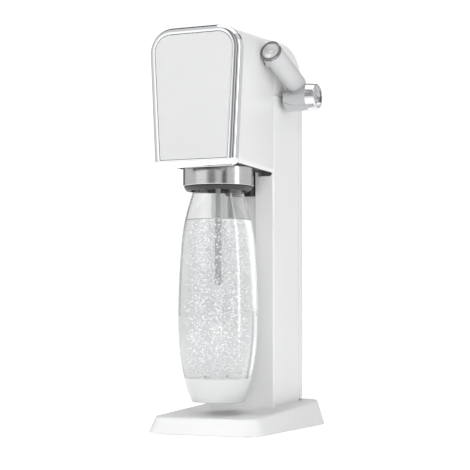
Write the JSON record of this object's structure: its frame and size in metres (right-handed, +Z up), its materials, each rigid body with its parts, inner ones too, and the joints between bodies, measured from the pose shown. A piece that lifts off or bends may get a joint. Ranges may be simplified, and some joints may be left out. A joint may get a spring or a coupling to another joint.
{
  "type": "soda carbonator",
  "caption": "White countertop soda carbonator: sloped base, tall column, head with bright-framed panel, side press lever, tilting bottle holder and clear bottle",
  "frame": {"origin": "centre of the footprint, on the surface it stands on", "axes": "+Z up, -Y the front with the panel, +X the side that carries the lever"},
  "size_m": [0.149, 0.2245, 0.4402],
  "materials": {
    "white_casing": "satin white",
    "front_panel": "glossy white",
    "inner_white": "plain",
    "bezel_chrome": "polished plating",
    "end_cap_silver": "fine brushed",
    "collar_steel": "fine brushed",
    "black_plastic": "matte black",
    "rubber_black": "soft",
    "frame_grey": "glass-filled",
    "steel_pins": "machined",
    "bush_plastic": "acetal",
    "nozzle_grey": "grey",
    "brass": "machined",
    "handle_pink": "coloured",
    "cylinder_paint": "painted",
    "bottle_clear": "clear",
    "bottle_cup_white": "white",
    "water": "clear liquid"
  },
  "bodies": {
    "root": {"base_shell": "white_casing", "base_bottom_cover": "black_plastic", "base_posts": "inner_white", "base_screws": "steel_pins", "rubber_feet": "rubber_black", "column_shell": "white_casing", "head_shell": "white_casing", "fascia_bezel": "bezel_chrome", "panel_carrier": "inner_white", "front_panel": "front_panel", "head_underside": "black_plastic", "inner_frame": "frame_grey", "head_frame": "frame_grey", "lever_bracket": "black_plastic", "lever_bushes": "bush_plastic", "pivot_pins": "steel_pins", "holder_bracket": "black_plastic", "valve_block": "black_plastic", "plunger_spring": "steel_pins", "beam_pin": "steel_pins", "handle_pins": "steel_pins", "gas_elbow": "black_plastic", "gas_hose": "rubber_black", "lever_return_spring": "steel_pins"},
    "lever": {"lever_arm": "white_casing", "lever_end_rim": "bezel_chrome", "lever_end_cap": "end_cap_silver", "lever_grip": "bezel_chrome", "grip_core": "black_plastic", "grip_end_cap": "end_cap_silver", "lever_shaft": "steel_pins", "lever_cam": "bush_plastic"},
    "beam": {"valve_beam": "bush_plastic"},
    "plunger": {"valve_plunger": "steel_pins"},
    "holder": {"collar_ring": "collar_steel", "holder_sleeve": "black_plastic", "nozzle_carrier": "black_plastic", "nozzle_body": "nozzle_grey", "nozzle_seal": "rubber_black", "carbonation_tube": "nozzle_grey", "tube_nozzle": "nozzle_grey", "relief_valve": "brass"},
    "bottle": {"bottle_body": "bottle_clear", "bottle_base_cup": "bottle_cup_white", "water": "water"},
    "jaw_left": {"jaw_left": "black_plastic"},
    "jaw_right": {"jaw_right": "black_plastic"},
    "rear_cover": {"rear_cover": "white_casing"},
    "cylinder": {"gas_cylinder": "cylinder_paint", "cylinder_valve": "brass"},
    "valve_pin": {"cylinder_valve_pin": "steel_pins"},
    "release_handle": {"release_handle": "handle_pink"}
  },
  "joints": [
    {"name": "lever_press", "type": "hinge", "parent": "root", "child": "lever", "pos_m": [0, -0.02808, 0.40569], "axis": [1, 0, 0], "range_deg": [-35, 0], "stiffness_Nm_per_rad": 0.5, "springref_deg": 28.65},
    {"name": "beam_rock", "type": "hinge", "parent": "root", "child": "beam", "pos_m": [0, 0.084, 0.404], "axis": [1, 0, 0], "range_deg": [0, 6.5]},
    {"name": "plunger_slide", "type": "slide", "parent": "root", "child": "plunger", "axis": [0, 0, 1], "range_m": [-0.003, 0], "deforming": ["plunger_spring"]},
    {"name": "holder_tilt", "type": "hinge", "parent": "root", "child": "holder", "pos_m": [0, -0.057, 0.318], "axis": [1, 0, 0], "range_deg": [-12, 0]},
    {"name": "bottle_release", "type": "slide", "parent": "holder", "child": "bottle", "axis": [0, 0, -1], "range_m": [0, 0.008]},
    {"name": "jaw_left_open", "type": "slide", "parent": "holder", "child": "jaw_left", "axis": [-1, 0, 0], "range_m": [0, 0.008]},
    {"name": "jaw_right_open", "type": "slide", "parent": "holder", "child": "jaw_right", "axis": [1, 0, 0], "range_m": [0, 0.008]},
    {"name": "rear_cover_pull", "type": "slide", "parent": "root", "child": "rear_cover", "axis": [0, 1, 0], "range_m": [0, 0.03]},
    {"name": "cylinder_drop", "type": "slide", "parent": "root", "child": "cylinder", "axis": [0, 0, -1], "range_m": [0, 0.003]},
    {"name": "pin_press", "type": "slide", "parent": "cylinder", "child": "valve_pin", "axis": [0, 0, 1], "range_m": [-0.003, 0]},
    {"name": "handle_lift", "type": "hinge", "parent": "root", "child": "release_handle", "pos_m": [0, 0.07, 0.362], "axis": [1, 0, 0], "range_deg": [0, 61]}
  ],
  "couplings": [
    {"joint": "beam_rock", "follows": "lever_press", "ratio": -0.1815},
    {"joint": "plunger_slide", "follows": "lever_press", "m_per_rad": 0.00475},
    {"joint": "pin_press", "follows": "lever_press", "m_per_rad": 0.00475},
    {"joint": "jaw_left_open", "follows": "bottle_release", "ratio": 1},
    {"joint": "jaw_right_open", "follows": "bottle_release", "ratio": 1},
    {"joint": "handle_lift", "follows": "cylinder_drop", "rad_per_m": 349}
  ]
}
